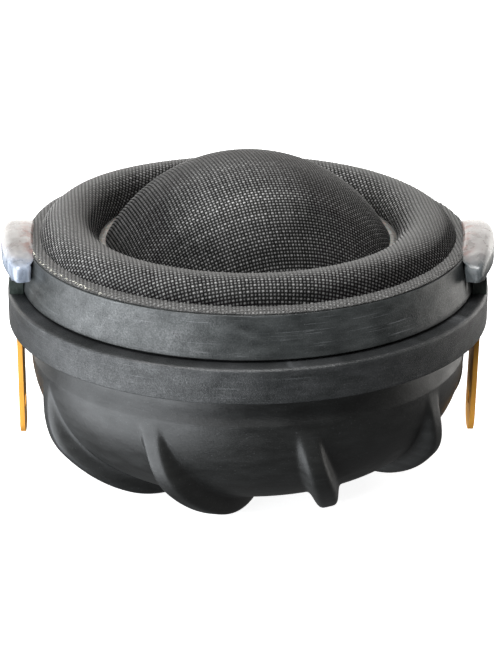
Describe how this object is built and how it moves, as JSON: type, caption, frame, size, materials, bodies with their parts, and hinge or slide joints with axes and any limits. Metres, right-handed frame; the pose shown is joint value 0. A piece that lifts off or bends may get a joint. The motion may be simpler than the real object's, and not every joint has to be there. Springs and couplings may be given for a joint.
{
  "type": "car tweeter",
  "caption": "Soft-dome car tweeter: woven dome and half-roll surround in a black plastic ring, round seating flange, finned rear cup and two flat push-on tabs.",
  "frame": {"origin": "on the axis, in the plane of the chassis flange's rear seating face", "axes": "+Z along the axis, the way the sound goes; +X from the axis to the positive terminal; +Y follows by the right-hand rule"},
  "size_m": [0.048, 0.047, 0.0314],
  "materials": {
    "chassis_plastic": "moulded, fine grain",
    "ring_plastic": "moulded, satin, lightly rubbed",
    "cup_plastic": "moulded, satin",
    "gasket_rubber": "matte",
    "surround_cloth": "coated plain weave",
    "dome_cloth": "coated plain weave",
    "bond_adhesive": "dried adhesive",
    "former_aluminium": "foil",
    "enamelled_wire": "enamelled copper winding",
    "motor_steel": "zinc plated",
    "magnet_nickel": "nickel plated",
    "copper": "bare copper",
    "felt": "pressed felt",
    "wadding": "loose polyester",
    "gold_plated_brass": "gold flash",
    "block_plastic": "moulded",
    "solder": "tin solder",
    "clear_adhesive": "milky, translucent"
  },
  "bodies": {
    "housing": {"chassis_flange": "chassis_plastic", "diaphragm_ring": "ring_plastic", "rear_cup": "cup_plastic", "ring_gasket": "gasket_rubber", "cup_gasket": "gasket_rubber", "surround": "surround_cloth", "top_plate": "motor_steel", "yoke": "motor_steel", "magnet": "magnet_nickel", "copper_cap": "copper", "pole_felt": "felt", "surround_felt": "felt", "chamber_wadding": "wadding", "terminal_positive": "gold_plated_brass", "terminal_negative": "gold_plated_brass", "terminal_block_positive": "block_plastic", "terminal_block_negative": "block_plastic", "lead_wire_positive": "copper", "lead_wire_negative": "copper", "solder_joints": "solder", "glue_cap_positive": "clear_adhesive", "glue_cap_negative": "clear_adhesive"},
    "diaphragm": {"dome": "dome_cloth", "dome_bond_ring": "bond_adhesive", "coil_former": "former_aluminium", "voice_coil": "enamelled_wire"}
  },
  "joints": [
    {"name": "dome_travel", "type": "slide", "parent": "housing", "child": "diaphragm", "axis": [0, 0, 1], "range_m": [-0.0004, 0.0004], "stiffness_N_per_m": 900, "deforming": ["surround", "lead_wire_positive", "lead_wire_negative"]}
  ]
}
